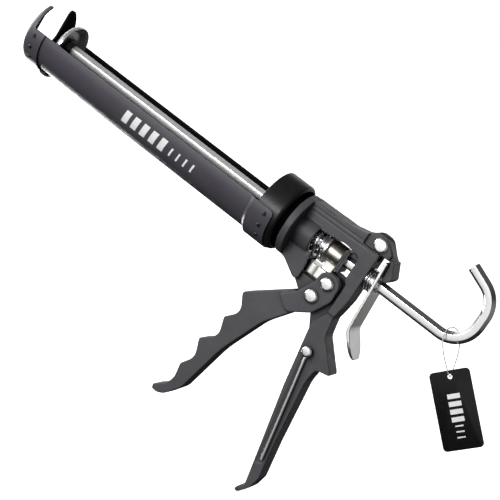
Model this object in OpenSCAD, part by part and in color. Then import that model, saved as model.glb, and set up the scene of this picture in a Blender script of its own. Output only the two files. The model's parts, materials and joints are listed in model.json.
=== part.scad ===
// Caulking gun with a rotating half-tube cradle, a friction drive and a hooked push rod.
// +X points to the rear along the rod, +Z up. The origin is on the rod's axis at the collar's front face.

/* [Cradle] */
// Outer radius of the half tube
trough_r = 26; // [24:0.5:28]
// Thickness of the trough's sheet
trough_t = 1.2; // [1:0.1:1.6]
// Distance from the collar's front face to the nose of the front cap
cradle_len = 232; // [200:1:260]
// Height of the trough's two edges above the rod's axis
rim_z = 2.5; // [0:0.5:4]
// Thickness of the front cap's sheet
cap_t = 1.6; // [1.2:0.1:2]
// Half width of the nozzle slot
slot_r = 15.6; // [11:0.1:16]

/* [Collar] */
// Outer radius of the rear collar
collar_r = 27.3; // [26:0.1:28]
// Length of the rear collar
collar_len = 20; // [16:1:22]
// Radius of the hub that the collar turns on
hub_r = 12; // [11:0.5:13]

/* [Push rod] */
// Width of the six-sided rod across its flats
rod_af = 8; // [7:0.5:8.5]
// Place along X where the hook's first bend starts
hook_x = 154.5; // [150:0.5:170]
// Radius of the hook's first bend, at the rod's centre line
hook_r = 20.5; // [18:0.5:24]
// Radius of the piston
piston_r = 19; // [17:0.5:21]
// Depth of the piston's dish
piston_depth = 6.2; // [5:0.1:9]

/* [Body] */
// Radius of the flange behind the collar
flange_r = 24.5; // [22:0.5:26]
// Half width of the top arm and the rear wall
arm_half = 9; // [8:0.5:10]
// Half width of the top rear boss
boss_half = 7; // [6.5:0.5:8]
// Half width of the fixed handle
grip_half = 8; // [7:0.5:9]
// Half width of the web inside the trigger's fork
web_half = 5.5; // [5:0.1:5.6]
// Radius of the silver pin in the top rear boss
boss_pin_r = 3; // [2.5:0.5:3.5]

/* [Trigger] */
// Half width of the trigger's finger grip
trigger_half = 7.5; // [7:0.5:8]
// Half width over the trigger's fork
fork_half = 10.3; // [10:0.1:11]
// Radius of the pivot pin and the pusher pin
pin_r = 3; // [2.5:0.1:3.2]
// Radius of the pins' round heads
pin_head_r = 5.3; // [4.5:0.1:5.6]

/* [Springs] */
// Outer radius of the main spring
main_spring_r = 12; // [11:0.1:12]
// Wire radius of the main spring
main_wire_r = 1.1; // [0.8:0.1:1.3]
// Outer radius of the release spring
release_spring_r = 8.6; // [8:0.1:9]
// Wire radius of the release spring
release_wire_r = 0.8; // [0.6:0.1:1]

/* [Hidden] */
$fn = 72;
eps = 0.01;
run = 0.05;

// Places of the pins and pivots, as X and Z.
pivot_at = [67, -33.7];
pusher_at = [71.8, -19.7];
boss_at = [87.7, 25.3];
rivet_at = [87.2, -68];

// Cradle.
cap_r = trough_r + 0.05 + cap_t;
cap_round = 4;
cap_skirt = 17;
trough_front = -cradle_len + 5;
tab_r = collar_r + 0.05 + trough_t;
tab_end = 15.4;
dimple_angles = [-5, -25, -45];

// Hub, flange and boss.
collar_wall = 3;
hub_front = -2.6;
flange_x = 24.5;
flange_t = 5.5;
boss_r = 14;
boss_end = 44.5;
spring_seat_x = 33;
rod_hole_r = 5.2;
bush_r = 7;
bush_len = 6;

// Window, rear wall and drive.
wall_front = 80;
rib_x = 73.4;
wall_back = 91;
washer_x = 55.3;
washer_t = 1.5;
sleeve_x = washer_x + washer_t;
sleeve_len = 12;
sleeve_r = 8.5;
roller_r = 4;
roller_gap = 0.15;
nose_r = 6.3;
block_half = 5.2;
block_front = 48.2;
block_back = pusher_at.x - roller_r - roller_gap;
block_top = -14.4;
block_bottom = -22.6;
plate_t = 1.6;

// Piston, rod and hook.
piston_x = -cradle_len + 21;
rod_front = piston_x + 8.3;
bend_steps = 15;
hook_rise = 7;
hook_r2 = 20;
hook_turn = 68;
hook_tip = 15.2;
hex_r = rod_af / sqrt(3);

// Release lever, punch and tag.
lever_half = 11.5;
lever_t = 2.3;
wire_r = 1.1;
wire_y = -grip_half - 0.45 - wire_r;
wire_end = [103.7, -154.2];
tag_dir = 47;
loop_dir = 33;
bar_at = [164, 2.6];
loop_len = 34.2;
loop_over = 6.8;
thread_r = 0.4;

// ---------- helpers ----------

// Arc of n steps that rounds corner b between a and c with radius r.
function corner(a, b, c, r, n = 6) =
  let (
    u = (a - b) / norm(a - b),
    v = (c - b) / norm(c - b),
    half = acos(u * v) / 2,
    mid = b + (u + v) / norm(u + v) * r / sin(half),
    from = b + u * r / tan(half) - mid,
    to = b + v * r / tan(half) - mid,
    start = atan2(from.y, from.x),
    swing = atan2(to.y, to.x) - start,
    sweep = swing > 180 ? swing - 360 : swing < -180 ? swing + 360 : swing
  )
  [for (i = [0:n]) mid + r * [cos(start + sweep * i / n), sin(start + sweep * i / n)]];

// Outline from a list of [x, z, corner radius].
function rounded(list) =
  let (count = len(list))
  [for (i = [0:count - 1])
    let (
      a = list[(i + count - 1) % count],
      b = list[i],
      c = list[(i + 1) % count]
    )
    each (b.z > 0 ? corner([a.x, a.y], [b.x, b.y], [c.x, c.y], b.z) : [[b.x, b.y]])];

// Side outline in X and Z, made into a plate between two Y values.
module plate(outline, y0, y1) {
  translate([0, y1, 0])
    rotate([90, 0, 0])
      linear_extrude(y1 - y0)
        polygon(outline);
}

// Cylinder along X.
module along_x(x0, x1, r) {
  translate([x0, 0, 0])
    rotate([0, 90, 0])
      cylinder(r = r, h = x1 - x0);
}

// Cylinder along Y at a place in X and Z.
module along_y(at, y0, y1, r) {
  translate([at.x, y1, at.y])
    rotate([90, 0, 0])
      cylinder(r = r, h = y1 - y0);
}

// Solid of revolution about X from an outline of [radius, x].
module turned(outline) {
  rotate([0, 90, 0])
    rotate_extrude()
      polygon(outline);
}

// Six-sided bar along X, with its flats facing +Y and -Y.
module hex_bar(x0, x1, af) {
  translate([x0, 0, 0])
    rotate([0, 90, 0])
      cylinder(r = af / sqrt(3), h = x1 - x0, $fn = 6);
}

// Round-headed pin along Y with a head on both ends.
module headed_pin(at, half, shank_r, head_r, head_t) {
  along_y(at, -half, half, shank_r);
  for (side = [0, 1])
    translate([at.x, 0, at.y])
      mirror([0, side, 0])
        translate([0, half, 0])
          rotate([-90, 0, 0])
            rotate_extrude()
              polygon(rounded([[0, 0, 0], [head_r, 0, 0], [head_r, head_t, 1.2], [0, head_t, 0]]));
}

// Coil spring along X with closed ends, as one swept tube.
module coil(x0, x1, r, wire, turns, steps = 16, sides = 8) {
  last = turns * steps;
  rings = [for (i = [0:last])
    let (
      a = 360 * i / steps,
      t = i / last,
      x = x0 + wire + (x1 - x0 - 2 * wire) * t
    )
    for (j = [0:sides - 1])
      let (b = 360 * j / sides, rr = r + wire * cos(b))
      [x + wire * sin(b), rr * cos(a), rr * sin(a)]];
  tube(rings, last + 1, sides, false);
}

// Closed tube from rings of points, either capped or joined end to start.
module tube(points, count, sides, ring) {
  joins = ring ? count : count - 1;
  walls = [for (i = [0:joins - 1], j = [0:sides - 1])
    [i * sides + j, i * sides + (j + 1) % sides,
      ((i + 1) % count) * sides + (j + 1) % sides, ((i + 1) % count) * sides + j]];
  caps = ring ? [] : [
    [for (j = [sides - 1:-1:0]) j],
    [for (j = [0:sides - 1]) (count - 1) * sides + j]];
  polyhedron(points, concat(walls, caps), convexity = 6);
}

// ---------- outlines ----------

// Top arm with the rear boss, the rear wall and the fixed handle.
frame_outline = rounded([
  [27, 7, 0], [27, 23.6, 1], [62, 24.2, 14], [74, 26.6, 14], [81, 32.4, 7], [89.8, 32.4, 8], [98.6, 23.6, 1.5],
  [98, 20.2, 1], [91, 19.6, 0], [91, -22, 2], [88.6, -38, 8], [91.5, -52, 7], [110.8, -73, 1],
  [99.2, -75.8, 4], [98, -88, 12], [104.6, -138, 60], [109.8, -168, 9], [107.8, -178, 9], [101.6, -186.4, 1.4],
  [98.2, -186.2, 1.2], [99.2, -183, 0.8], [103.3, -177.9, 1.5], [85.4, -98.2, 90], [76.6, -49, 3], [82.8, -37, 3],
  [82.8, -12, 0],
  [wall_front, -10, 2], [wall_front, 9.6, 4], [66, 11.5, 12], [37, 7, 0]
]);

// Front lug under the boss.
lug_outline = rounded([
  [27, -8, 0], [48.5, -8, 0], [50.2, -23, 1], [50.2, -33.6, 3], [33.4, -24, 3], [27, -22.5, 0]
]);

// Thin web that carries the pivot inside the fork.
web_outline = rounded([
  [44, -24.6, 0], [88, -24.6, 0], [88, -60, 0], [80, -60, 6], [70.5, -43.6, 5], [60, -41.5, 6], [44, -29.5, 2]
]);

// Shallow panel on each side of the handle, round the punch wire.
panel_outline = rounded([[83.6, -66, 2.5], [93.4, -72, 2.5], [95.6, -92, 8], [105.8, -157, 1.8], [100.4, -160, 1.8]]);
panel_depth = 0.4;

// Finger grip of the trigger.
grip_outline = rounded([
  [20.6, -63.9, 2.5], [53.4, -37.4, 2], [64, -48, 3], [45.8, -73, 40], [31.2, -109, 80], [25.6, -134, 40],
  [21.6, -152, 14], [12.4, -165.4, 12], [6.4, -167.9, 4], [2, -167.4, 1.2], [1.2, -164, 1.2], [13.4, -153.5, 14],
  [10.4, -137.6, 1.8], [17.5, -127, 10], [12, -112.6, 1.8], [24, -102.5, 9], [19.2, -87.6, 2], [28.4, -77.5, 8]
]);

// Head of the trigger round both pins.
fork_outline = rounded([
  [56, -37, 0], [62.6, -23.2, 5], [63.8, -10.8, 7.5], [80.6, -12.4, 8], [81.2, -29, 8], [73.6, -43.6, 8],
  [56.6, -55.2, 6], [45.4, -46.8, 2]
]);

// Release lever, seen from the side.
lever_outline = rounded([
  [97.8, 18.8, 0.6], [lever_t + 97.8, 18.8, 0.6], [lever_t + 101.8, -36, 8],
  [117.6, -53, 0.6], [115.8, -54.6, 0.6], [101.8, -37.2, 10]
]);

// Release lever seen from the front, with rounded lower corners.
lever_front = rounded([
  [-lever_half, 30, 0], [lever_half, 30, 0], [lever_half, -54.6, 11.2], [-lever_half, -54.6, 11.2]
]);

// Catch behind the release lever: an eye inside the boss and a drop-shaped tail.
catch_arm = rounded([
  [82, 19.8, 5.4], [82, 30.6, 5.4], [91, 30.6, 5.4], [101.6, 22, 1], [101.6, 19.4, 0], [96, 19.4, 0]
]);
catch_tail = rounded([
  [100.7, 21.4, 0], [102.6, 21.4, 0.6], [108.4, 10, 3], [104.6, 4.8, 2.4], [101.7, 6.6, 2]
]);

// Trough seen from the side, with rounded rear corners.
trough_side = rounded([
  [trough_front, rim_z, 0], [trough_front, -40, 0], [tab_end, -40, 0], [tab_end, rim_z, 3.5]
]);

// Dome and skirt of the front cap, as radius and place along X.
cap_shell = concat(
  rounded([[0, -cradle_len, 0], [cap_r, -cradle_len, cap_round], [cap_r, -cradle_len + cap_skirt, 0],
    [cap_r - cap_t, -cradle_len + cap_skirt, 0],
    [cap_r - cap_t, -cradle_len + cap_t, cap_round - cap_t], [0, -cradle_len + cap_t, 0]]));

// ---------- frame body ----------

module frame_blank() {
  along_x(hub_front, flange_x + 1, hub_r);
  along_x(flange_x, flange_x + flange_t, flange_r);
  along_x(flange_x, boss_end, boss_r);
  difference() {
    plate(frame_outline, -arm_half, arm_half);
    // The handle below the rear wall is narrower than the arm.
    for (side = [-1, 1])
      translate([60, side * (arm_half + grip_half) - arm_half, -200])
        cube([80, 2 * arm_half, 164]);
    // The boss is narrower than the arm too.
    for (side = [-1, 1])
      translate([76, side * (arm_half + boss_half) - arm_half, 19.6])
        cube([40, 2 * arm_half, 30]);
  }
  plate(lug_outline, -arm_half, arm_half);
  plate(web_outline, -web_half, web_half);
  // Rib over the rod in the rear of the window.
  translate([rib_x, -web_half, rod_hole_r + 0.1])
    cube([wall_front - rib_x + 1, 2 * web_half, 7]);
}

// Two level grooves on each side of the top arm.
module arm_grooves() {
  for (side = [-1, 1])
    for (z = [16.2, 19.4])
      translate([31, side * arm_half - 0.5, z])
        rotate([0, -1.6, 0])
          cube([z > 18 ? 45 : 58, 1, 1.1]);
}

module body_casting() {
  color("dimgray")
    difference() {
      frame_blank();
      // Rod hole, spring seat and pockets for the two bushings.
      along_x(hub_front - 1, 100, rod_hole_r);
      along_x(spring_seat_x, washer_x + 3, main_spring_r + 0.4);
      along_x(hub_front - 1, hub_front + bush_len, bush_r);
      along_x(wall_back - bush_len, wall_back + 1, bush_r);
      // Groove for the retaining ring.
      difference() {
        along_x(hub_front + 0.6, hub_front + 1.9, hub_r + 1);
        along_x(hub_front, hub_front + 3, hub_r - 1);
      }
      // Channel for the drive block inside the lug, and the room for the roller.
      translate([38, -nose_r - 0.6, -23.4])
        cube([13, 2 * nose_r + 1.2, 9.6]);
      // Pin holes.
      along_y(pivot_at, -20, 20, pin_r);
      along_y(boss_at, -20, 20, boss_pin_r);
      along_y(rivet_at, -20, 0, 2);
      // Slot for the catch.
      translate([80, -5, 13.5])
        cube([30, 10, 18.6]);
      arm_grooves();
      // Shallow panels on both sides of the handle.
      for (side = [-1, 1])
        translate([0, side * grip_half, 0])
          plate(panel_outline, -panel_depth, panel_depth);
    }
}

module rod_bushings() {
  color("darkkhaki")
    for (x = [hub_front, wall_back - bush_len])
      difference() {
        along_x(x, x + bush_len, bush_r);
        along_x(x - 1, x + bush_len + 1, hex_r + 0.08);
      }
}

module retaining_ring() {
  color("silver")
    difference() {
      along_x(hub_front + 0.7, hub_front + 1.8, hub_r + 2.2);
      along_x(hub_front, hub_front + 3, hub_r - 1);
      // Open gap that lets the ring spring over the hub.
      translate([hub_front, -3, 0])
        cube([4, 6, 20]);
    }
}

module pivot_pin() {
  color("silver")
    headed_pin(pivot_at, fork_half + 0.3, pin_r, pin_head_r, 2);
}

module boss_pin() {
  color("silver")
    headed_pin(boss_at, boss_half, boss_pin_r, 5.6, 1.8);
}

module lever_catch() {
  color("dimgray")
    difference() {
      union() {
        plate(catch_arm, -4.9, 4.9);
        plate(catch_tail, -grip_half, grip_half);
      }
      along_y(boss_at, -20, 20, boss_pin_r);
    }
}

module punch_rivet() {
  color("silver") {
    along_y(rivet_at, wire_y - wire_r - 0.35, -1, 2);
    translate([rivet_at.x, wire_y - wire_r - 0.35, rivet_at.y])
      rotate([90, 0, 0])
        rotate_extrude()
          polygon(rounded([[0, 0, 0], [4, 0, 0], [4, 1.4, 0.9], [0, 1.4, 0]]));
  }
}

// ---------- cradle body ----------

module barrel_trough() {
  color("darkslategray")
    intersection() {
      difference() {
        union() {
          along_x(trough_front, -5.9, trough_r);
          translate([-6, 0, 0])
            rotate([0, 90, 0])
              cylinder(r1 = trough_r, r2 = tab_r, h = 3);
          along_x(-3, tab_end, tab_r);
        }
        along_x(trough_front - 1, -5.9, trough_r - trough_t);
        translate([-6, 0, 0])
          rotate([0, 90, 0])
            cylinder(r1 = trough_r - trough_t, r2 = tab_r - trough_t, h = 3);
        along_x(-3 - eps, tab_end + 1, tab_r - trough_t);
        front_rivet_set();
        rear_rivet_set();
      }
      plate(trough_side, -40, 40);
    }
}

module front_cap() {
  rim_cut = [[-cradle_len + 6.5, rim_z], [-cradle_len + 3, 40], [0, 40], [0, rim_z]];
  horn_top = [[-260, 21.8], [-260, 40], [0, 40], [0, 21.8]];
  color("dimgray")
    difference() {
      union() {
        turned(cap_shell);
        // Stamped bead under the cap.
        intersection() {
          translate([-cradle_len + cap_skirt, 0, -21.5])
            sphere(r = 8.6);
          translate([-cradle_len + cap_skirt - 8.5, -9, -40])
            cube([16, 18, 14]);
        }
      }
      along_x(-cradle_len + cap_t + 5, 0, cap_r - cap_t);
      plate(rim_cut, -40, 40);
      plate(horn_top, -40, 40);
      // Nozzle slot, open at the top.
      along_x(-cradle_len - 1, -cradle_len + 20, slot_r);
      translate([-cradle_len - 1, -slot_r, 0])
        cube([20, 2 * slot_r, 40]);
      front_rivet_set();
    }
}

// Three rivets on each side, set round the tube at radius r.
module side_rivets(x, r, grip) {
  for (side = [0, 1], a = dimple_angles)
    mirror([0, side, 0])
      translate([x, 0, 0])
        rotate([90 - a, 0, 0])
          translate([0, 0, r - grip]) {
            cylinder(r = 1, h = grip + 0.1, $fn = 24);
            translate([0, 0, grip])
              cylinder(r1 = 1.7, r2 = 1.1, h = 0.7, $fn = 24);
          }
}

module front_rivet_set() {
  side_rivets(-cradle_len + 9, cap_r, cap_t + 0.05 + trough_t);
}

module rear_rivet_set() {
  side_rivets(9.5, tab_r, trough_t + 3);
}

module front_rivets() {
  color("black")
    front_rivet_set();
}

module rear_collar() {
  color("black")
    difference() {
      turned(rounded([[hub_r + run, 0, 0], [collar_r, 0, 0.8], [collar_r, collar_len, 2.5],
        [collar_r - 3, collar_len, 0], [collar_r - 3, collar_wall, 0], [hub_r + 3, collar_wall, 0],
        [hub_r + 3, collar_len, 0], [hub_r + run, collar_len, 0]]));
      rear_rivet_set();
    }
}

module rear_rivets() {
  color("black")
    rear_rivet_set();
}

// ---------- rod body ----------

// Centre line of the bar as [x, z, direction], from the piston round the hook to its tip.
bend_top = [hook_x + hook_r - hook_r2, hook_r + hook_rise];
bend_end = [bend_top.x + hook_r2 * cos(hook_turn), bend_top.y + hook_r2 * sin(hook_turn)];
rod_path = [
  [rod_front, 0, 0],
  for (i = [0:bend_steps])
    let (a = 90 * i / bend_steps)
    [hook_x + hook_r * sin(a), hook_r - hook_r * cos(a), a],
  for (i = [0:bend_steps])
    let (a = hook_turn * i / bend_steps)
    [bend_top.x + hook_r2 * cos(a), bend_top.y + hook_r2 * sin(a), 90 + a],
  [bend_end.x - hook_tip * sin(hook_turn), bend_end.y + hook_tip * cos(hook_turn), 90 + hook_turn]
];

module push_rod() {
  rings = [for (p = rod_path, j = [0:5])
    let (out = hex_r * cos(60 * j), across = hex_r * sin(60 * j))
    [p.x - out * sin(p.z), across, p.y + out * cos(p.z)]];
  color("silver") {
    tube(rings, len(rod_path), 6, false);
    // Threaded end through the piston, peened over at the front.
    along_x(piston_x - 1.3, rod_front + 1, 3);
    along_x(piston_x - 1.3, piston_x - 0.1, 4.6);
  }
}

module piston_dish() {
  color("silver")
    difference() {
      turned(rounded([[3.1, piston_x, 0], [piston_r - 5, piston_x, 5], [piston_r, piston_x + 3, 2],
        [piston_r, piston_x + piston_depth, 0.4], [piston_r - 1.2, piston_x + piston_depth, 0.4],
        [piston_r - 1.2, piston_x + 3.7, 1.2], [piston_r - 5.4, piston_x + 1.2, 3.8], [3.1, piston_x + 1.2, 0]]));
      along_x(piston_x - 1, piston_x + 4, 3.05);
    }
}

module piston_washer() {
  color("black")
    difference() {
      along_x(piston_x + 1.2, piston_x + 2.6, 7.5);
      along_x(piston_x, piston_x + 4, 3.05);
    }
}

module piston_nut() {
  color("black")
    difference() {
      hex_bar(piston_x + 2.6, piston_x + 8.2, 12);
      along_x(piston_x, piston_x + 10, 3);
    }
}

// ---------- trigger body ----------

module trigger() {
  color("dimgray")
    difference() {
      union() {
        plate(grip_outline, -trigger_half, trigger_half);
        plate(fork_outline, -fork_half, fork_half);
      }
      // Gap of the fork round the web, the roller and the drive block.
      translate([50, -web_half - 0.3, -44.2])
        cube([40, 2 * web_half + 0.6, 60]);
      translate([64.5, -web_half - 0.3, -60])
        cube([25, 2 * web_half + 0.6, 20]);
      along_y(pivot_at, -20, 20, pin_r + run);
      along_y(pusher_at, -20, 20, pin_r);
    }
}

module pusher_pin() {
  color("silver")
    headed_pin(pusher_at, fork_half, pin_r, pin_head_r, 2);
}

module pusher_roller() {
  color("silver")
    difference() {
      along_y(pusher_at, -web_half, web_half, roller_r);
      along_y(pusher_at, -20, 20, pin_r);
    }
}

// ---------- drive body ----------

module drive_sleeve() {
  color("tan")
    difference() {
      turned(rounded([[hex_r + 0.1, sleeve_x, 0], [sleeve_r, sleeve_x, 0.8],
        [sleeve_r, sleeve_x + sleeve_len, 0.8], [hex_r + 0.1, sleeve_x + sleeve_len, 0]]));
      drive_slab();
    }
}

// Upright slab of the drive block that reaches into the sleeve.
module drive_slab() {
  translate([sleeve_x + 2, -2.5, -18])
    cube([block_back - sleeve_x - 2.5, 5, 12.4]);
}

module drive_block() {
  color("silver") {
    drive_slab();
    translate([block_front + nose_r, 0, block_bottom])
      cylinder(r = nose_r, h = block_top - block_bottom);
    translate([block_front + nose_r, -block_half, block_bottom])
      cube([block_back - block_front - nose_r, 2 * block_half, block_top - block_bottom]);
  }
}

module spring_washer() {
  color("silver")
    difference() {
      along_x(washer_x, washer_x + washer_t, main_spring_r);
      along_x(washer_x - 1, washer_x + washer_t + 1, hex_r + 0.15);
    }
}

module grip_plates() {
  color("gray")
    for (i = [0, 1])
      difference() {
        translate([sleeve_x + sleeve_len + i * (plate_t + 0.3), -8, -9])
          cube([plate_t, 16, 17]);
        along_x(sleeve_x, wall_front, hex_r + 0.1);
      }
}

module main_spring() {
  color("silver")
    coil(spring_seat_x, washer_x, main_spring_r - main_wire_r, main_wire_r, 5);
}

// ---------- release, punch and tag ----------

module release_lever() {
  color("lightgray")
    difference() {
      intersection() {
        plate(lever_outline, -lever_half, lever_half);
        translate([90, 0, 0])
          rotate([90, 0, 90])
            linear_extrude(40)
              polygon(lever_front);
      }
      along_x(90, 110, 5.9);
    }
}

module release_spring() {
  color("silver")
    coil(wall_back + 0.05, 98.2, release_spring_r - release_wire_r, release_wire_r, 3);
}

module punch_wire() {
  length = norm(wire_end - rivet_at);
  dir = (wire_end - rivet_at) / length;
  color("white") {
    difference() {
      along_y(rivet_at, wire_y - wire_r, wire_y + wire_r, 3.6);
      along_y(rivet_at, wire_y - 5, wire_y + 5, 2 + run);
    }
    translate([rivet_at.x + 3 * dir.x, wire_y, rivet_at.y + 3 * dir.y])
      rotate([0, 90 + atan2(-dir.y, dir.x), 0])
        cylinder(r = wire_r, h = length - 3);
  }
}

// Direction along the hanging loop, and the point where it passes through the tag.
loop_axis = [sin(loop_dir), 0, -cos(loop_dir)];
loop_top = [bar_at.x, 0, bar_at.y] - loop_over * loop_axis;
hole_at = loop_top + loop_len * loop_axis;

module hang_tag() {
  tag_w = 29.6;
  tag_len = 55.6;
  hole_in = 4.4;
  color("black")
    translate(hole_at)
      rotate([0, -tag_dir, 0])
        difference() {
          plate(rounded([[-tag_w / 2, hole_in, 3], [tag_w / 2, hole_in, 3],
            [tag_w / 2, hole_in - tag_len, 3], [-tag_w / 2, hole_in - tag_len, 3]]), -0.5, 0.5);
          along_y([0, 0], -2, 2, 1.8);
        }
}

// Drop-shaped loop of thread: its top lies over the bar, its tip goes through the tag's hole.
module tag_loop() {
  steps = 40;
  sides = 8;
  side_dir = [0.45 * cos(loop_dir), 0.893, 0.45 * sin(loop_dir)];
  function at(a) = loop_top + loop_len / 2 * (1 - cos(a)) * loop_axis
    + 7.6 * sin(a) * (1 + 0.6 * cos(a)) * side_dir;
  points = [for (i = [0:steps - 1])
    let (
      a = 360 * i / steps,
      t = (at(a + 1) - at(a - 1)) / norm(at(a + 1) - at(a - 1)),
      flat = cross(side_dir, loop_axis),
      out = cross(t, flat)
    )
    for (j = [0:sides - 1])
      at(a) + thread_r * (cos(360 * j / sides) * out + sin(360 * j / sides) * flat)];
  color("white")
    tube(points, steps, sides, true);
}

body_casting();
rod_bushings();
retaining_ring();
pivot_pin();
boss_pin();
lever_catch();
punch_rivet();
barrel_trough();
front_cap();
front_rivets();
rear_collar();
rear_rivets();
push_rod();
piston_dish();
piston_washer();
piston_nut();
trigger();
pusher_pin();
pusher_roller();
drive_sleeve();
drive_block();
spring_washer();
grip_plates();
main_spring();
release_lever();
release_spring();
punch_wire();
hang_tag();
tag_loop();
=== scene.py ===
"""Looks of the caulking gun: castings, sheet metal, chrome rod, pins, springs and tag,
with the floor, the lights and the camera."""
import json
import math

import bpy
import bmesh
from mathutils import Matrix, Vector

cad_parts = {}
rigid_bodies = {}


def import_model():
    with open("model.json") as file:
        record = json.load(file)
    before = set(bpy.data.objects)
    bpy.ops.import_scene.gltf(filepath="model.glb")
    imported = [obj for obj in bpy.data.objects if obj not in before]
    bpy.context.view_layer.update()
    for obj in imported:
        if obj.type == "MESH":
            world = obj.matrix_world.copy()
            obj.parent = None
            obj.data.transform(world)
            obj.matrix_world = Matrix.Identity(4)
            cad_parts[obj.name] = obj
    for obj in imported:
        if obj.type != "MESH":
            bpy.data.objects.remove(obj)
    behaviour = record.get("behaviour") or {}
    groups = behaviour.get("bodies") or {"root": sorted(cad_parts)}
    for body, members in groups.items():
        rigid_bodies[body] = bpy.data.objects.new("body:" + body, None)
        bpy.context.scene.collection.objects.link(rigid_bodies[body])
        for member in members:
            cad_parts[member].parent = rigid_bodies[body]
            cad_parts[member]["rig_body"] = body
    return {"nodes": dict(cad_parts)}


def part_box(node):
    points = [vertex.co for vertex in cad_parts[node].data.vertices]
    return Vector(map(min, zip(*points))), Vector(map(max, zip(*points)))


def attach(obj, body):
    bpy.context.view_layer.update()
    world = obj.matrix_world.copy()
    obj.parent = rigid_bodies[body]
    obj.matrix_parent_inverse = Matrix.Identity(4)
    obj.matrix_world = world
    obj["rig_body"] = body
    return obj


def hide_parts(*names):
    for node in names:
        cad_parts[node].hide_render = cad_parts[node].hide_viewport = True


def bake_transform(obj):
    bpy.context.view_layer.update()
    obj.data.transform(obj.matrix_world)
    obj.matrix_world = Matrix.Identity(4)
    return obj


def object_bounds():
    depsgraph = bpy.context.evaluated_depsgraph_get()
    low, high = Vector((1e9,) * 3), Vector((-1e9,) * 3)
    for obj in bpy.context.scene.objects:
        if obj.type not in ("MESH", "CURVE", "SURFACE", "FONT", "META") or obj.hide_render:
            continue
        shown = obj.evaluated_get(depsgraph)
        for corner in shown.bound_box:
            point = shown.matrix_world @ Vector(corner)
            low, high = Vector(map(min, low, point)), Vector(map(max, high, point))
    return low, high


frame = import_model()
CAD_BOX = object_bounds()
MM = 0.001
MERGE = 0.002 * MM
CAD_MERGE = 1e-6
WHITE_INK = (0.80, 0.80, 0.80)


# ---------- small mesh tools; shapes are given in millimetres ----------

def centre(node):
    """Middle of a CAD node's box, in millimetres."""
    lo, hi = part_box(node)
    return (lo + hi) / 2 / MM


def piece(name, verts, faces, body, slot, sharp=32):
    """Mesh object from millimetre points, smooth up to an edge angle in degrees; body may be None."""
    mesh = bpy.data.meshes.new(name)
    mesh.from_pydata([tuple(c * MM for c in v) for v in verts], [], faces)
    bm = bmesh.new()
    bm.from_mesh(mesh)
    bmesh.ops.remove_doubles(bm, verts=bm.verts, dist=MERGE)
    bmesh.ops.recalc_face_normals(bm, faces=bm.faces)
    bm.to_mesh(mesh)
    bm.free()
    smooth(mesh, sharp)
    obj = bpy.data.objects.new(name, mesh)
    bpy.context.scene.collection.objects.link(obj)
    if body:
        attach(obj, body)
    return obj


def stand_in(name, shape, body, slot, sharp, mat, node=None):
    """A painted piece from (points, faces) that stands for a CAD node, if one is given."""
    obj = piece(name, *shape, body, slot, sharp)
    if node:
        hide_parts(node)
    return paint(obj, mat)


def paint(obj, mat):
    obj.data.materials.clear()
    obj.data.materials.append(mat)
    return obj


def smooth(mesh, sharp):
    mesh.shade_smooth()
    mesh.set_sharp_from_angle(angle=math.radians(sharp))


def corner(a, b, c, r, steps=6):
    """Points of an arc of radius r that rounds corner b between a and c."""
    a, b, c = Vector(a), Vector(b), Vector(c)
    u, v = (a - b).normalized(), (c - b).normalized()
    half = u.angle(v) / 2
    mid = b + (u + v).normalized() * (r / math.sin(half))
    start = b + u * (r / math.tan(half)) - mid
    end = b + v * (r / math.tan(half)) - mid
    first = math.atan2(start.y, start.x)
    turn = (math.atan2(end.y, end.x) - first + math.pi) % (2 * math.pi) - math.pi
    angles = [first + turn * i / steps for i in range(steps + 1)]
    return [(mid.x + r * math.cos(a), mid.y + r * math.sin(a)) for a in angles]


def rounded(points, steps=6):
    """Outline from a list of (a, b, corner radius)."""
    out = []
    for i, (x, y, r) in enumerate(points):
        before, after = points[i - 1], points[(i + 1) % len(points)]
        out += corner(before[:2], (x, y), after[:2], r, steps) if r > 0 else [(x, y)]
    return out


def skin(rings, n, closed=True):
    """Faces between neighbouring rings of n points; an open row of rings is capped at both ends."""
    faces = []
    for i in range(rings if closed else rings - 1):
        j = (i + 1) % rings
        for k in range(n):
            m = (k + 1) % n
            faces.append((i * n + k, i * n + m, j * n + m, j * n + k))
    if not closed:
        faces += [tuple(range(n)), tuple(range((rings - 1) * n, rings * n))]
    return faces


def lathe(profile, segments):
    """Solid of revolution about X from a closed outline of (radius, x)."""
    verts = []
    for s in range(segments):
        a = 2 * math.pi * s / segments
        verts += [(x, r * math.cos(a), r * math.sin(a)) for r, x in profile]
    return verts, skin(segments, len(profile))


def across(verts, at, side):
    """Turns a lathe about X into one about Y at a place in X and Z, facing -Y if side is -1."""
    return [(at[0] + y, side * x, at[1] + z) for x, y, z in verts]


def sweep(path, ring):
    """Tube from path points with a ring of (out, across) offsets, kept level with the Y axis."""
    verts, last, nearly_level = [], len(path) - 1, 0.95
    for i, p in enumerate(path):
        along = (Vector(path[min(i + 1, last)]) - Vector(path[max(i - 1, 0)])).normalized()
        flat = Vector((0, 1, 0))
        if abs(along.dot(flat)) > nearly_level:
            flat = Vector((1, 0, 0))
        out = along.cross(flat).normalized()
        flat = out.cross(along)
        verts += [tuple(Vector(p) + out * o + flat * f) for o, f in ring]
    return verts, skin(len(path), len(ring), closed=False)


def circle(r, n):
    angles = [2 * math.pi * i / n for i in range(n)]
    return [(r * math.cos(a), r * math.sin(a)) for a in angles]


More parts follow.
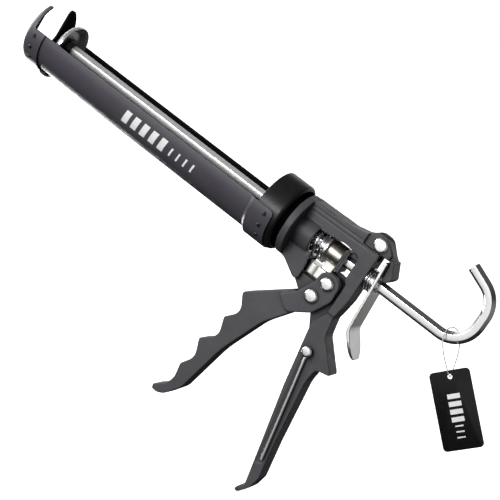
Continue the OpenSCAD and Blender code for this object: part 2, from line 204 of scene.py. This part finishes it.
def soften(name, node, mat, voxel, passes, keep=1.0):
    """Stands for a CAD node with the same shape, its edges and inside corners rounded as a casting's are.

    voxel is in millimetres; keep is the share of faces that stays."""
    source = frame["nodes"][node]
    obj = bpy.data.objects.new(name, source.data.copy())
    bpy.context.scene.collection.objects.link(obj)
    bm = bmesh.new()
    bm.from_mesh(obj.data)
    bmesh.ops.remove_doubles(bm, verts=bm.verts, dist=CAD_MERGE)
    bm.to_mesh(obj.data)
    bm.free()
    remesh = obj.modifiers.new("remesh", "REMESH")
    remesh.mode = "VOXEL"
    remesh.voxel_size = voxel * MM
    relax = obj.modifiers.new("relax", "SMOOTH")
    relax.factor = 0.5
    relax.iterations = passes
    if keep < 1:
        thin = obj.modifiers.new("thin", "DECIMATE")
        thin.ratio = keep
    dg = bpy.context.evaluated_depsgraph_get()
    mesh = bpy.data.meshes.new_from_object(obj.evaluated_get(dg))
    obj.modifiers.clear()
    obj.data = mesh
    smooth(mesh, 50)
    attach(obj, frame["nodes"][node]["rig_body"])
    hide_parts(node)
    return paint(obj, mat)


# ---------- materials ----------

def material(name, base, metallic, rough):
    """A new material, its node tree and its shader."""
    mat = bpy.data.materials.new(name)
    mat.use_nodes = True
    shader = mat.node_tree.nodes["Principled BSDF"]
    shader.inputs["Base Color"].default_value = (*base, 1)
    shader.inputs["Metallic"].default_value = metallic
    shader.inputs["Roughness"].default_value = rough
    return mat, mat.node_tree, shader


def noise(tree, scale, detail=3.0, stretch=(1, 1, 1)):
    """Noise over the object's own coordinates; scale is in features per metre."""
    place = tree.nodes.new("ShaderNodeTexCoord")
    squeeze = tree.nodes.new("ShaderNodeMapping")
    squeeze.inputs["Scale"].default_value = stretch
    texture = tree.nodes.new("ShaderNodeTexNoise")
    texture.inputs["Scale"].default_value = scale
    texture.inputs["Detail"].default_value = detail
    tree.links.new(place.outputs["Object"], squeeze.inputs["Vector"])
    tree.links.new(squeeze.outputs["Vector"], texture.inputs["Vector"])
    return texture.outputs["Fac"]


def calculate(tree, operation, *values):
    """Math node; each value is a number or a socket."""
    node = tree.nodes.new("ShaderNodeMath")
    node.operation = operation
    for i, value in enumerate(values):
        if isinstance(value, (int, float)):
            node.inputs[i].default_value = value
        else:
            tree.links.new(value, node.inputs[i])
    return node.outputs["Value"]


def remap(tree, value, start, end, low=0.0, high=1.0):
    """Maps start to end onto low to high, held at both ends."""
    node = tree.nodes.new("ShaderNodeMapRange")
    node.inputs["From Min"].default_value = start
    node.inputs["From Max"].default_value = end
    node.inputs["To Min"].default_value = low
    node.inputs["To Max"].default_value = high
    tree.links.new(value, node.inputs["Value"])
    return node.outputs["Result"]


def spread(tree, value, low, high):
    """Maps a noise value, mostly 0.3 to 0.7, onto low to high."""
    return remap(tree, value, 0.3, 0.7, low, high)


def split_axes(tree, vector):
    """X, Y and Z sockets of a vector socket."""
    node = tree.nodes.new("ShaderNodeSeparateXYZ")
    tree.links.new(vector, node.inputs["Vector"])
    return node.outputs["X"], node.outputs["Y"], node.outputs["Z"]


def blend(tree, factor, a, b):
    """Colour between a and b; each is a colour or a socket."""
    node = tree.nodes.new("ShaderNodeMix")
    node.data_type = "RGBA"
    tree.links.new(factor, node.inputs["Factor"])
    for socket, value in (("A", a), ("B", b)):
        target = [i for i in node.inputs if i.name == socket and i.type == "RGBA"][0]
        if isinstance(value, tuple):
            target.default_value = (*value, 1)
        else:
            tree.links.new(value, target)
    return [o for o in node.outputs if o.type == "RGBA"][0]


def bump(tree, shader, value, height, strength=1.0):
    """Fine relief from a value; height is in millimetres."""
    node = tree.nodes.new("ShaderNodeBump")
    node.inputs["Distance"].default_value = height * MM
    node.inputs["Strength"].default_value = strength
    tree.links.new(value, node.inputs["Height"])
    tree.links.new(node.outputs["Normal"], shader.inputs["Normal"])


def edge_highlight(tree, low, high):
    """1 on outside edges, where a painted highlight goes, 0 elsewhere, broken up by noise."""
    shape = tree.nodes.new("ShaderNodeNewGeometry")
    edge = remap(tree, shape.outputs["Pointiness"], low, high)
    return calculate(tree, "MULTIPLY", edge, spread(tree, noise(tree, 420, 4), 0.0, 1.0))


def corner_shade(tree, reach):
    """0 deep in corners and slots, where painted shade goes, 1 in the open."""
    node = tree.nodes.new("ShaderNodeAmbientOcclusion")
    node.samples = 8
    node.inputs["Distance"].default_value = reach * MM
    return remap(tree, node.outputs["AO"], 0.4, 0.98)


def coated(name, dark, light, rough, grain, height, edge_light=None, shade_reach=None, sheen=0.5):
    """Black coating on metal: slight tone change, fine grain, painted shade that darkens its corners, painted
    highlights that lighten its outside edges.
    """
    mat, tree, shader = material(name, dark, 0.0, rough[0])
    shader.inputs["Specular IOR Level"].default_value = sheen
    colour = blend(tree, spread(tree, noise(tree, 55, 3), 0, 1), dark, light)
    # Corners and slots are darkened towards black: painted shade.
    if shade_reach:
        colour = blend(tree, corner_shade(tree, shade_reach), (0.004, 0.004, 0.004), colour)
    # Outside edges are lightened to grey: a painted highlight.
    if edge_light:
        colour = blend(tree, edge_highlight(tree, 0.53, 0.62), colour, edge_light)
    tree.links.new(colour, shader.inputs["Base Color"])
    tree.links.new(spread(tree, noise(tree, 160, 4), *rough), shader.inputs["Roughness"])
    bump(tree, shader, noise(tree, grain, 3), height)
    return mat


def metal(name, base, shade, rough, scale, stretch, height, metallic=1.0):
    """Bare or plated metal with a fine drawn or turned finish."""
    mat, tree, shader = material(name, base, metallic, rough[0])
    lines = noise(tree, scale, 4, stretch)
    tone = spread(tree, noise(tree, 70, 3), 0, 1)
    tree.links.new(blend(tree, tone, base, shade), shader.inputs["Base Color"])
    tree.links.new(spread(tree, lines, *rough), shader.inputs["Roughness"])
    bump(tree, shader, lines, height, 0.6)
    return mat


# The castings, cap and collar get painted shade in their corners; the castings and cap get painted highlights
# on their outside edges.
CAST = coated("cast_coat", (0.046, 0.046, 0.052), (0.060, 0.060, 0.067), (0.44, 0.56), 2600, 0.07,
              edge_light=(0.15, 0.15, 0.155), shade_reach=6.0, sheen=0.4)
SHEET = coated("sheet_coat", (0.056, 0.053, 0.064), (0.066, 0.062, 0.074), (0.36, 0.44), 1500, 0.012,
               sheen=0.4)
# A near-black copy of the sheet coat, used as painted shade on faces that look inward or away from the light.
SHADE_COAT = coated("painted_shade_coat", (0.003, 0.003, 0.004), (0.005, 0.005, 0.006), (0.50, 0.62), 1500, 0.012,
                sheen=0.08)
CAP = coated("cap_coat", (0.060, 0.056, 0.066), (0.072, 0.067, 0.079), (0.30, 0.40), 1500, 0.02,
             edge_light=(0.14, 0.14, 0.14), shade_reach=2.0)
COLLAR = coated("collar_coat", (0.007, 0.007, 0.008), (0.011, 0.011, 0.012), (0.30, 0.42), 1300, 0.015,
                shade_reach=3.0, sheen=0.3)
RIVET = coated("rivet_black", (0.010, 0.010, 0.010), (0.016, 0.016, 0.016), (0.30, 0.45), 1800, 0.02)
DARK = metal("black_oxide", (0.05, 0.05, 0.055), (0.09, 0.09, 0.095), (0.30, 0.45), 900, (1, 1, 1), 0.02, 0.9)
BAR = metal("bar_chrome", (0.84, 0.85, 0.86), (0.90, 0.905, 0.91), (-0.03, 0.03), 500, (0.05, 1, 1),
            0.004, 0.95)
CHROME = metal("chrome", (0.86, 0.865, 0.87), (0.92, 0.92, 0.925), (0.18, 0.27), 500, (0.05, 1, 1),
               0.004, 0.8)
PIN = metal("pin_plate", (0.80, 0.80, 0.80), (0.88, 0.88, 0.88), (0.24, 0.36), 1400, (1, 0.2, 1), 0.02)
ZINC = metal("lever_steel", (0.66, 0.655, 0.64), (0.76, 0.755, 0.74), (0.30, 0.42), 800, (1, 1, 0.06), 0.015)
SLEEVE = metal("sleeve_steel", (0.58, 0.54, 0.47), (0.70, 0.66, 0.58), (0.26, 0.38), 1200, (1, 0.1, 0.1),
               0.012)
BLOCK = metal("block_zinc", (0.74, 0.73, 0.70), (0.86, 0.85, 0.82), (0.28, 0.44), 1000, (1, 1, 1), 0.02)
SPRING = metal("spring_wire", (0.70, 0.71, 0.73), (0.84, 0.85, 0.86), (0.10, 0.20), 900, (1, 1, 1), 0.01)
BRONZE = metal("bushing_bronze", (0.42, 0.30, 0.15), (0.52, 0.38, 0.20), (0.38, 0.52), 1500, (1, 1, 1), 0.03)


def band(tree, value, low, high):
    """1 where a value in metres lies between two places in millimetres."""
    return calculate(tree, "COMPARE", value, (low + high) / 2 * MM, (high - low) / 2 * MM)


def along_bar(mat, front, rear):
    """Makes a bar duller towards its front; front and rear are (x in mm, metallic, roughness)."""
    tree = mat.node_tree
    shader = tree.nodes["Principled BSDF"]
    place = tree.nodes.new("ShaderNodeTexCoord")
    x = split_axes(tree, place.outputs["Object"])[0]
    grain = shader.inputs["Roughness"].links[0].from_socket
    shine, rough = (remap(tree, x, front[0] * MM, rear[0] * MM, front[at], rear[at]) for at in (1, 2))
    tree.links.new(shine, shader.inputs["Metallic"])
    tree.links.new(calculate(tree, "ADD", rough, grain), shader.inputs["Roughness"])


along_bar(BAR, (0, 0.72, 0.34), (110, 0.97, 0.15))

# ---------- CAD nodes that keep their own meshes ----------

for node, mat in {
    "rod_bushings": BRONZE, "retaining_ring": SPRING, "front_rivets": RIVET, "rear_rivets": RIVET,
    "rear_collar": COLLAR, "barrel_trough": SHEET, "piston_washer": DARK, "pusher_roller": PIN,
    "spring_washer": PIN, "grip_plates": DARK,
}.items():
    paint(frame["nodes"][node], mat)


def printed(mat, place, bars, ink):
    """Adds plain bars to a material where Y is below 0; each is (X from, to, Z from, to) in millimetres."""
    tree = mat.node_tree
    shader = tree.nodes["Principled BSDF"]
    x, y, z = split_axes(tree, place)
    total = None
    for x0, x1, z0, z1 in bars:
        box = calculate(tree, "MULTIPLY", band(tree, x, x0, x1), band(tree, z, z0, z1))
        total = box if total is None else calculate(tree, "MAXIMUM", total, box)
    near_side = calculate(tree, "LESS_THAN", y, 0)
    total = calculate(tree, "MULTIPLY", total, near_side)
    below = shader.inputs["Base Color"].links[0].from_socket
    tree.links.new(blend(tree, total, below, ink), shader.inputs["Base Color"])


def printed_place(tree, at, turn, slant=0.0):
    """Object coordinates moved to a corner, turned about Y and slanted."""
    place = tree.nodes.new("ShaderNodeTexCoord")
    move = tree.nodes.new("ShaderNodeMapping")
    move.vector_type = "TEXTURE"
    move.inputs["Location"].default_value = [c * MM for c in at]
    move.inputs["Rotation"].default_value = (0, turn, 0)
    tree.links.new(place.outputs["Object"], move.inputs["Vector"])
    if not slant:
        return move.outputs["Vector"]
    x, y, z = split_axes(tree, move.outputs["Vector"])
    join = tree.nodes.new("ShaderNodeCombineXYZ")
    for axis, value in (("X", calculate(tree, "MULTIPLY_ADD", z, -slant, x)), ("Y", y), ("Z", z)):
        tree.links.new(value, join.inputs[axis])
    return join.outputs["Vector"]


# Plain slanted bars, wide and then narrow, along the near wall.
BARS = [(x, x + 5.4, -14.5, -4.0) for x in (-124, -115, -106, -97, -88)]
BARS += [(x, x + 1.6, -13.5, -6.5) for x in (-77, -70, -63, -56)]
printed(SHEET, printed_place(SHEET.node_tree, (0, 0, 0), 0, 0.25), BARS, WHITE_INK)

# The trough's inside gets painted shade, a near-black copy of its coat: the faces that lie inside the middle
# of its wall and look at the axis.
WALL_MID = 25.4
trough = frame["nodes"]["barrel_trough"]
trough.data.materials.append(SHADE_COAT)
for poly in trough.data.polygons:
    place, facing = poly.center, poly.normal
    if math.hypot(place.y, place.z) / MM < WALL_MID and place.y * facing.y + place.z * facing.z < 0:
        poly.material_index = 1

# ---------- castings and pressed parts, with rounded edges ----------

soften("body_cast", "body_casting", CAST, 0.5, 6, 0.45)
soften("trigger_cast", "trigger", CAST, 0.5, 6, 0.45)
soften("catch_cast", "lever_catch", CAST, 0.3, 5)
cap = soften("cap_pressed", "front_cap", CAP, 0.32, 3, 0.6)
cap.data.materials.append(SHADE_COAT)
# The same painted shade goes on the cap's inside, its rear faces and the inner sides of its slot.
for poly in cap.data.polygons:
    place, facing = poly.center, poly.normal
    inward = (place.y * facing.y + place.z * facing.z) / max(math.hypot(place.y, place.z), MM)
    if inward < -0.3 or facing.x > 0.6 or (abs(facing.y) > 0.7 and place.y * facing.y < 0):
        poly.material_index = 1
soften("lever_bent", "release_lever", ZINC, 0.35, 3, 0.6)
soften("block_cast", "drive_block", BLOCK, 0.3, 6)

# ---------- rod, hook and piston ----------

ROD_R = 4.62
ROD_ROUND = 0.55
ROD_FRONT = -202.7
BEND_STEPS = 26
HOOK_X, HOOK_R, HOOK_RISE, TOP_R = 154.5, 20.5, 7.0, 20.0
TOP_TURN, TIP_LEN, TIP_CHAMFER, TIP_SHARE = math.radians(68), 15.2, 0.5, 0.88


def rod_path():
    """Centre line of the bar, from the piston round the hook to its tip."""
    points = [(ROD_FRONT, 0.0), (-100.0, 0.0), (0.0, 0.0), (100.0, 0.0)]
    for i in range(BEND_STEPS + 1):
        a = math.radians(90 * i / BEND_STEPS)
        points.append((HOOK_X + HOOK_R * math.sin(a), HOOK_R - HOOK_R * math.cos(a)))
    top_x, top_z = HOOK_X + HOOK_R - TOP_R, HOOK_R + HOOK_RISE
    for i in range(BEND_STEPS + 1):
        a = TOP_TURN * i / BEND_STEPS
        points.append((top_x + TOP_R * math.cos(a), top_z + TOP_R * math.sin(a)))
    end = points[-1]
    for reach in (TIP_LEN - TIP_CHAMFER, TIP_LEN):
        points.append((end[0] - reach * math.sin(TOP_TURN), end[1] + reach * math.cos(TOP_TURN)))
    return [(x, 0.0, z) for x, z in points]


def hex_ring(r, round_r):
    """Six-sided ring with slightly rounded corners, a corner up and flats to the sides."""
    angles = [math.radians(60 * i) for i in range(6)]
    return rounded([(r * math.cos(a), r * math.sin(a), round_r) for a in angles], 3)


def bar():
    """The bent bar, its last ring drawn in a little, so that the sawn end has a small chamfer."""
    path, ring = rod_path(), hex_ring(ROD_R, ROD_ROUND)
    verts, faces = sweep(path, ring)
    end = Vector(path[-1])
    for i in range(len(verts) - len(ring), len(verts)):
        verts[i] = tuple(end + (Vector(verts[i]) - end) * TIP_SHARE)
    return verts, faces


stand_in("rod_bar", bar(), "rod", "chrome", 24, BAR, "push_rod")
STEM = [(0.01, -212.3, 0), (4.3, -212.3, 0.5), (4.6, -211.1, 0.2), (3.0, -211.0, 0), (3.0, -201.7, 0),
        (0.01, -201.7, 0)]
stand_in("rod_stem", lathe(rounded(STEM, 4), 32), "rod", "chrome", 30, CHROME)

PISTON_X = -211.0
DISH = [(3.1, PISTON_X, 0.2), (14.0, PISTON_X, 5), (19.0, PISTON_X + 3, 2.0), (19.0, PISTON_X + 6.2, 0.55),
        (17.8, PISTON_X + 6.2, 0.55), (17.8, PISTON_X + 3.7, 1.2), (13.6, PISTON_X + 1.2, 3.8),
        (3.1, PISTON_X + 1.2, 0.2)]
stand_in("piston_pressed", lathe(rounded(DISH, 8), 96), "rod", "chrome", 40, CHROME, "piston_dish")


def hex_nut(x0, x1, r, bore):
    """Hexagon nut about X with both faces chamfered into a cone."""
    steps, sixth, verts = 48, math.pi / 3, []
    front = [(bore, x0), (r * 0.86, x0), (r * 0.875, x0 + 0.1), (r, x0 + 0.75)]
    rings = front + [(reach, x1 - (x - x0)) for reach, x in reversed(front)]
    for reach, x in rings:
        for s in range(steps):
            a = 2 * math.pi * s / steps
            flat = r * math.cos(sixth / 2) / math.cos((a + sixth / 2) % sixth - sixth / 2)
            here = min(reach, flat) if reach > bore else bore
            verts.append((x, here * math.cos(a + math.pi / 2), here * math.sin(a + math.pi / 2)))
    return verts, skin(len(rings), steps)


NUT_ACROSS, NUT_BORE = 12, 3.02
nut_shape = hex_nut(PISTON_X + 2.6, PISTON_X + 8.2, NUT_ACROSS / math.sqrt(3), NUT_BORE)
stand_in("piston_hex_nut", nut_shape, "rod", "dark_steel", 28, DARK, "piston_nut")

# ---------- pins ----------

SHANK_R = 3.0


def pin(name, node, half, head, tall, body):
    """Pin across the gun: a plain shank and a low domed head with a rolled edge on both sides."""
    at = centre(node)
    side = rounded([(0.01, 0, 0), (SHANK_R, 0, 0), (SHANK_R, half, 0), (head, half, 0.35),
                    (head, half + tall * 0.5, 0.6), (head * 0.72, half + tall * 0.97, 2.2),
                    (0.01, half + tall, 0)], 5)
    verts, faces = [], []
    for sign in (-1, 1):
        v, f = lathe(side, 48)
        start = len(verts)
        verts += across(v, (at.x, at.z), sign)
        faces += [tuple(i + start for i in face) for face in f]
    stand_in(name, (verts, faces), body, "pin", 40, PIN, node)


pin("pivot_pin_round", "pivot_pin", 10.6, 5.3, 2.0, "frame")
pin("boss_pin_round", "boss_pin", 7.0, 5.6, 1.8, "frame")
pin("pusher_pin_round", "pusher_pin", 10.3, 5.3, 2.0, "squeeze")

# ---------- seal punch ----------

RIVET_AT = (87.2, -68.0)
WIRE_R = 1.1
HANDLE_HALF, WIRE_GAP = 8.0, 0.45
WIRE_Y = -HANDLE_HALF - WIRE_GAP - WIRE_R
WIRE_END = (103.7, -154.2)
EYE_R, EYE_STEPS, SHAFT_STEPS = 2.55, 24, 5


def punch():
    """Wire with an eye bent round the rivet and a cut lower end."""
    hub, tip = Vector(RIVET_AT), Vector(WIRE_END)
    down = (tip - hub).normalized()
    side = Vector((-down.y, down.x))
    path = []
    for i in range(EYE_STEPS + 1):
        a = math.radians(-40 + 325 * i / EYE_STEPS)
        path.append(hub - down * (EYE_R * math.cos(a)) - side * (EYE_R * math.sin(a)))
    begin = hub + down * (EYE_R + 3.0)
    path += [begin.lerp(tip, i / SHAFT_STEPS) for i in range(SHAFT_STEPS + 1)]
    return sweep([(p.x, WIRE_Y, p.y) for p in path], circle(WIRE_R, 14))


stand_in("punch_bent_wire", punch(), "punch", "steel", 40, PIN, "punch_wire")

HEAD_Y = WIRE_R + 0.35 - WIRE_Y
RIVET_SIDE = [(0.01, 1, 0), (2.0, 1, 0), (2.0, HEAD_Y, 0), (4.0, HEAD_Y, 0.3), (4.0, HEAD_Y + 0.7, 0.5),
              (2.7, HEAD_Y + 1.35, 1.0), (0.01, HEAD_Y + 1.4, 0)]
verts, faces = lathe(rounded(RIVET_SIDE, 4), 40)
stand_in("punch_rivet_round", (across(verts, RIVET_AT, -1), faces), "frame", "pin", 40, PIN, "punch_rivet")

# ---------- springs and drive sleeve ----------


def coil(name, node, x0, x1, r, wire_r, turns):
    """Round-wire compression spring with a closed turn at each end.

    It is drawn in place and joined to no body."""
    steps, around, verts = 28, 10, []
    closed_end, rise_there = 0.12, 0.06
    last = int(turns * steps)
    for i in range(last + 1):
        a, t = 2 * math.pi * i / steps, i / last
        ease = min(max((t - closed_end) / (1 - 2 * closed_end), 0), 1)
        x = x0 + wire_r + (x1 - x0 - 2 * wire_r) * (rise_there * t + (1 - rise_there) * ease)
        out = Vector((0, math.cos(a), math.sin(a)))
        spot = Vector((x, r * math.cos(a), r * math.sin(a)))
        verts += [tuple(spot + out * o + Vector((f, 0, 0))) for o, f in circle(wire_r, around)]
    obj = piece(name, verts, skin(last + 1, around, closed=False), None, "spring", 50)
    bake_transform(obj)
    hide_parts(node)
    paint(obj, SPRING)


coil("main_spring_wire", "main_spring", 33.0, 55.3, 10.9, 1.1, 5.5)
coil("release_spring_wire", "release_spring", 91.05, 98.2, 7.8, 0.8, 3.5)

SLEEVE_FRONT, SLEEVE_LEN, SLEEVE_BORE, SLEEVE_R = 56.8, 12, 4.75, 8.5
SLEEVE_REAR = SLEEVE_FRONT + SLEEVE_LEN
SLEEVE_SIDE = [(SLEEVE_BORE, SLEEVE_FRONT, 0.2), (SLEEVE_R, SLEEVE_FRONT, 0.8), (SLEEVE_R, SLEEVE_REAR, 0.8),
               (SLEEVE_BORE, SLEEVE_REAR, 0.2)]
stand_in("drive_sleeve_turned", lathe(rounded(SLEEVE_SIDE, 5), 72), "drive", "sleeve", 40, SLEEVE,
         "drive_sleeve")

# ---------- tag ----------

TAG_W, TAG_LEN, TAG_HOLE_IN, TAG_T, TAG_EDGE = 29.6, 55.6, 4.4, 0.5, 0.12
BAR_AT = (164.0, 2.6)
LOOP_DIR, TAG_DIR = math.radians(33), math.radians(47)
LOOP_LEN, LOOP_OVER, THREAD_R = 34.2, 6.8, 0.4
LOOP_WIDE, LOOP_TOP_WIDER = 7.6, 0.6
LOOP_OUT = (0.45, 0.893)
loop_axis = Vector((math.sin(LOOP_DIR), 0, -math.cos(LOOP_DIR)))
loop_top = Vector((BAR_AT[0], 0, BAR_AT[1])) - LOOP_OVER * loop_axis
hole_at = loop_top + LOOP_LEN * loop_axis


def tag():
    """Thin card with rounded corners, a round hole and slightly rounded edges."""
    low = TAG_HOLE_IN - TAG_LEN
    corners = [(-TAG_W / 2, TAG_HOLE_IN), (TAG_W / 2, TAG_HOLE_IN), (TAG_W / 2, low), (-TAG_W / 2, low)]
    outline = rounded([(*at, 3) for at in corners], 6)
    # Both rings are sorted by angle, so that they can be joined one to one.
    outer, inner = (sorted(ring, key=lambda p: math.atan2(p[1], p[0]))
                    for ring in (outline, circle(1.8, len(outline))))
    rings = [(inner, TAG_T, 0.0), (outer, TAG_T, TAG_EDGE), (outer, TAG_T - TAG_EDGE, 0.0),
             (outer, TAG_EDGE - TAG_T, 0.0), (outer, -TAG_T, TAG_EDGE), (inner, -TAG_T, 0.0)]
    c, s, verts = math.cos(TAG_DIR), math.sin(TAG_DIR), []
    for ring, y, inset in rings:
        for x, z in ring:
            x, z = x * (1 - inset / 14), z * (1 - inset / 24)
            verts.append((hole_at.x + x * c - z * s, y, hole_at.z + x * s + z * c))
    return verts, skin(len(rings), len(outer))


def tag_material():
    """Satin black card with plain white bars printed down its length, on both sides."""
    mat, tree, shader = material("tag_card", (0.006, 0.006, 0.006), 0.0, 0.3)
    shader.inputs["Specular IOR Level"].default_value = 0.2
    tone = spread(tree, noise(tree, 900, 3), 0, 1)
    colour = blend(tree, tone, (0.004, 0.004, 0.004), (0.007, 0.007, 0.008))
    tree.links.new(colour, shader.inputs["Base Color"])
    tree.links.new(spread(tree, noise(tree, 300, 3), 0.24, 0.36), shader.inputs["Roughness"])
    bump(tree, shader, noise(tree, 1200, 2), 0.01)
    bars = [(-4.6, 4.6, z - 3.4, z) for z in (-12, -17.4, -22.8, -28.2)]
    bars += [(-3.0, 3.0, z - 1.0, z) for z in (-34, -38, -42)]
    printed(mat, printed_place(tree, (hole_at.x, 1, hole_at.z), -TAG_DIR), bars, WHITE_INK)
    return mat


stand_in("tag_card_print", tag(), "tag", "tag", 40, tag_material(), "hang_tag")


def thread_point(a):
    """Point of the thread's loop; a is 0 over the bar and 180 degrees at the tag's hole."""
    side = Vector((LOOP_OUT[0] * math.cos(LOOP_DIR), LOOP_OUT[1], LOOP_OUT[0] * math.sin(LOOP_DIR)))
    down = LOOP_LEN / 2 * (1 - math.cos(a))
    out = LOOP_WIDE * math.sin(a) * (1 + LOOP_TOP_WIDER * math.cos(a))
    return loop_top + down * loop_axis + out * side


def thread_material():
    """Clear nylon, grey enough to be seen on a white floor."""
    mat, tree, shader = material("nylon_thread", (0.55, 0.57, 0.60), 0.0, 0.2)
    shader.inputs["Transmission Weight"].default_value = 0.25
    shader.inputs["IOR"].default_value = 1.5
    tone = spread(tree, noise(tree, 1500, 2), 0, 1)
    tree.links.new(blend(tree, tone, (0.42, 0.44, 0.46), (0.66, 0.68, 0.70)), shader.inputs["Base Color"])
    tree.links.new(spread(tree, noise(tree, 900, 2), 0.14, 0.28), shader.inputs["Roughness"])
    return mat


# The loop has a small gap over the bar, where its two ends meet.
GAP, THREAD_STEPS = 4, 90
thread = [tuple(thread_point(math.radians(GAP / 2 + (360 - GAP) * i / THREAD_STEPS)))
          for i in range(THREAD_STEPS + 1)]
loop = stand_in("tag_thread", sweep(thread, circle(THREAD_R, 10)), "tag", "nylon", 60, thread_material(),
                "tag_loop")

# ---------- floor, light and camera ----------


def backdrop():
    """Plain pale floor under the handle's foot."""
    half, low = 6.0, CAD_BOX[0].z - 0.5 * MM
    mesh = bpy.data.meshes.new("floor")
    corners = [(-half, -half), (half, -half), (half, half), (-half, half)]
    mesh.from_pydata([(*at, low) for at in corners], [], [(0, 1, 2, 3)])
    floor = bpy.data.objects.new("floor", mesh)
    bpy.context.scene.collection.objects.link(floor)
    mat, tree, shader = material("floor_pale", (0.93, 0.93, 0.93), 0.0, 0.9)
    shader.inputs["Emission Color"].default_value = (1, 1, 1, 1)
    shader.inputs["Emission Strength"].default_value = 1.0
    shader.inputs["Specular IOR Level"].default_value = 0.0
    colour = blend(tree, noise(tree, 3, 2), (0.92, 0.92, 0.92), (0.94, 0.94, 0.94))
    tree.links.new(colour, shader.inputs["Base Color"])
    floor.data.materials.append(mat)
    floor.visible_glossy = False
    floor.visible_diffuse = False


def world():
    """White behind the object; in light and reflections a bright band at eye level, dark above and below."""
    scene = bpy.context.scene
    scene.world = bpy.data.worlds.new("studio")
    scene.world.use_nodes = True
    tree = scene.world.node_tree
    tree.nodes.clear()
    place = tree.nodes.new("ShaderNodeTexCoord")
    x, y, z = split_axes(tree, place.outputs["Generated"])
    # The bright band lies lower on the near side than on the far side, and is dim to the right.
    lifted = calculate(tree, "MULTIPLY_ADD", y, -0.05, remap(tree, z, -1, 1))
    height = calculate(tree, "SUBTRACT", lifted, 0.05)
    ramp = tree.nodes.new("ShaderNodeValToRGB")
    tree.links.new(height, ramp.inputs["Fac"])
    steps = [(0.0, 0.02), (0.28, 0.03), (0.34, 1.0), (0.56, 1.35), (0.66, 0.9), (0.74, 0.12), (1.0, 0.06)]
    stops = ramp.color_ramp.elements
    for at, _ in steps[1:-1]:
        stops.new(at)
    for stop, (_, value) in zip(stops, steps):
        stop.color = (value, value, value, 1)
    ahead = remap(tree, x, 0.7, 0.2, 0.16)
    path = tree.nodes.new("ShaderNodeLightPath")
    seen, lit = (tree.nodes.new("ShaderNodeBackground") for _ in range(2))
    mix = tree.nodes.new("ShaderNodeMixShader")
    out = tree.nodes.new("ShaderNodeOutputWorld")
    seen.inputs["Color"].default_value = (1, 1, 1, 1)
    lit.inputs["Strength"].default_value = 0.8
    tree.links.new(blend(tree, ahead, (0.02, 0.02, 0.02), ramp.outputs["Color"]), lit.inputs["Color"])
    tree.links.new(path.outputs["Is Camera Ray"], mix.inputs["Fac"])
    tree.links.new(lit.outputs["Background"], mix.inputs[1])
    tree.links.new(seen.outputs["Background"], mix.inputs[2])
    tree.links.new(mix.outputs["Shader"], out.inputs["Surface"])


def soft_light(name, place, aim, size, power, mirrored=True):
    """Soft light panel aimed at a point; some are left out of reflections."""
    lamp = bpy.data.lights.new(name, "AREA")
    lamp.shape = "RECTANGLE"
    lamp.size, lamp.size_y = size
    lamp.energy = power
    obj = bpy.data.objects.new(name, lamp)
    obj.location = place
    obj.rotation_euler = (Vector(aim) - Vector(place)).to_track_quat("-Z", "Y").to_euler()
    obj.visible_glossy = mirrored
    bpy.context.scene.collection.objects.link(obj)


def camera():
    """Camera turned, raised and rolled, with the row's origin off the middle of its picture."""
    turn, rise, roll = math.radians(19.3), math.radians(13.07), math.radians(33.03)
    distance, focal_px, width = 1.1, 1514.0, 500.0
    origin_at = Vector((271.63 - width / 2, width / 2 - 203.36)) / focal_px
    back = Vector((math.sin(turn) * math.cos(rise), -math.cos(turn) * math.cos(rise), math.sin(rise)))
    right = Vector((math.cos(turn), math.sin(turn), 0))
    up = back.cross(right)
    x_axis = right * math.cos(roll) + up * math.sin(roll)
    y_axis = -right * math.sin(roll) + up * math.cos(roll)
    z_axis = (back + origin_at.x * x_axis + origin_at.y * y_axis).normalized()
    x_axis = (x_axis - z_axis * x_axis.dot(z_axis)).normalized()
    y_axis = z_axis.cross(x_axis)
    data = bpy.data.cameras.new("camera")
    data.sensor_width = 36.0
    data.lens = focal_px / width * data.sensor_width
    data.clip_start, data.clip_end = 0.05, 50
    obj = bpy.data.objects.new("camera", data)
    facing = Matrix((x_axis, y_axis, z_axis)).transposed().to_4x4()
    obj.matrix_world = Matrix.Translation(back * distance) @ facing
    bpy.context.scene.collection.objects.link(obj)
    bpy.context.scene.camera = obj


backdrop()
world()
soft_light("key", (-0.9, -1.3, 0.9), (0, 0, -0.02), (1.0, 0.7), 14, False)
soft_light("low", (-0.48, -1.42, 0.19), (0, 0, 0), (0.8, 0.22), 11)
soft_light("side", (-1.5, -0.2, 0.1), (-0.1, 0, -0.02), (0.5, 1.0), 14)
soft_light("rim", (-1.0, 0.85, -0.75), (-0.22, 0, 0), (0.6, 0.5), 10)
soft_light("top", (-0.3, 0.5, 1.4), (0, 0, 0), (1.6, 0.4), 10, False)
camera()
bpy.context.scene.view_settings.view_transform = "Standard"
